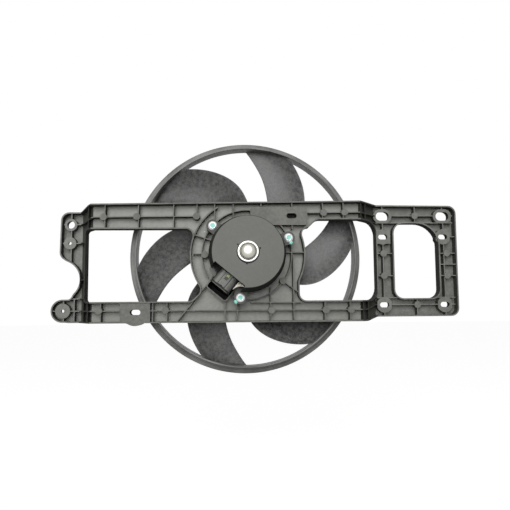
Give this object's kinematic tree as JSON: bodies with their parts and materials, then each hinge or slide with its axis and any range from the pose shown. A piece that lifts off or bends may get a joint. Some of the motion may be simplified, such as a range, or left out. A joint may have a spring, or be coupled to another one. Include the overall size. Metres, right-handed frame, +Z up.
{
  "type": "engine cooling fan",
  "caption": "Electric engine cooling fan: ring fan on a brushed motor, held by a long ribbed plastic carrier with slotted end plates that bolt to a radiator.",
  "frame": {"origin": "on the fan's axis, in the plane where the carrier's end plates rest on the radiator", "axes": "+Y along the fan's axis towards the radiator, with the motor on the -Y side; +X along the carrier, towards its windowed end plate; +Z up as pictured"},
  "size_m": [0.5504, 0.103, 0.314],
  "materials": {
    "carrier": "moulded glass-filled nylon, fine satin grain",
    "fan": "moulded glass-filled nylon, slightly mottled",
    "cover": "fine matte texture",
    "painted": "black dip coat",
    "black_plastic": "satin",
    "zinc": "bright zinc plate",
    "steel": "ground steel",
    "bright_steel": "polished pressed steel",
    "bronze": "sintered, oiled",
    "brass": "stamped",
    "copper": "enamelled wire and bare copper",
    "core": "stacked laminations",
    "ferrite": "ground ceramic magnet",
    "carbon": "copper-graphite brush",
    "cream_plastic": "natural nylon",
    "green_plastic": "satin"
  },
  "bodies": {
    "carrier": {"carrier_frame": "carrier", "motor_can": "painted", "front_bearing": "bronze", "magnet_1": "ferrite", "magnet_2": "ferrite", "magnet_clips": "steel", "brush_plate": "black_plastic", "brush_holder_1": "brass", "brush_holder_2": "brass", "brush_leads": "copper", "choke_coils": "copper", "terminals": "brass", "lead_guide": "cream_plastic", "connector_shell": "black_plastic", "connector_lock": "green_plastic", "motor_cover": "cover", "bearing_cap": "bright_steel", "cap_ring": "bright_steel", "rear_bearing": "bronze", "motor_screws": "zinc", "brush_spring_1": "steel", "brush_spring_2": "steel"},
    "rotor": {"shaft": "steel", "armature_core": "core", "armature_windings": "copper", "commutator": "copper", "fan_impeller": "fan", "hub_bush": "steel", "shaft_clip": "steel", "thrust_washer": "cream_plastic", "drive_pin": "steel"},
    "brush_right": {"brush_1": "carbon"},
    "brush_left": {"brush_2": "carbon"}
  },
  "joints": [
    {"name": "fan_spin", "type": "hinge", "parent": "carrier", "child": "rotor", "pos_m": [0, 0, 0], "axis": [0, 1, 0], "continuous": true},
    {"name": "brush_right_slide", "type": "slide", "parent": "carrier", "child": "brush_right", "axis": [1, 0, 0], "range_m": [0, 0.003], "stiffness_N_per_m": 300, "springref_m": -0.006, "deforming": ["brush_spring_1"]},
    {"name": "brush_left_slide", "type": "slide", "parent": "carrier", "child": "brush_left", "axis": [-1, 0, 0], "range_m": [0, 0.003], "stiffness_N_per_m": 300, "springref_m": -0.006, "deforming": ["brush_spring_2"]}
  ]
}
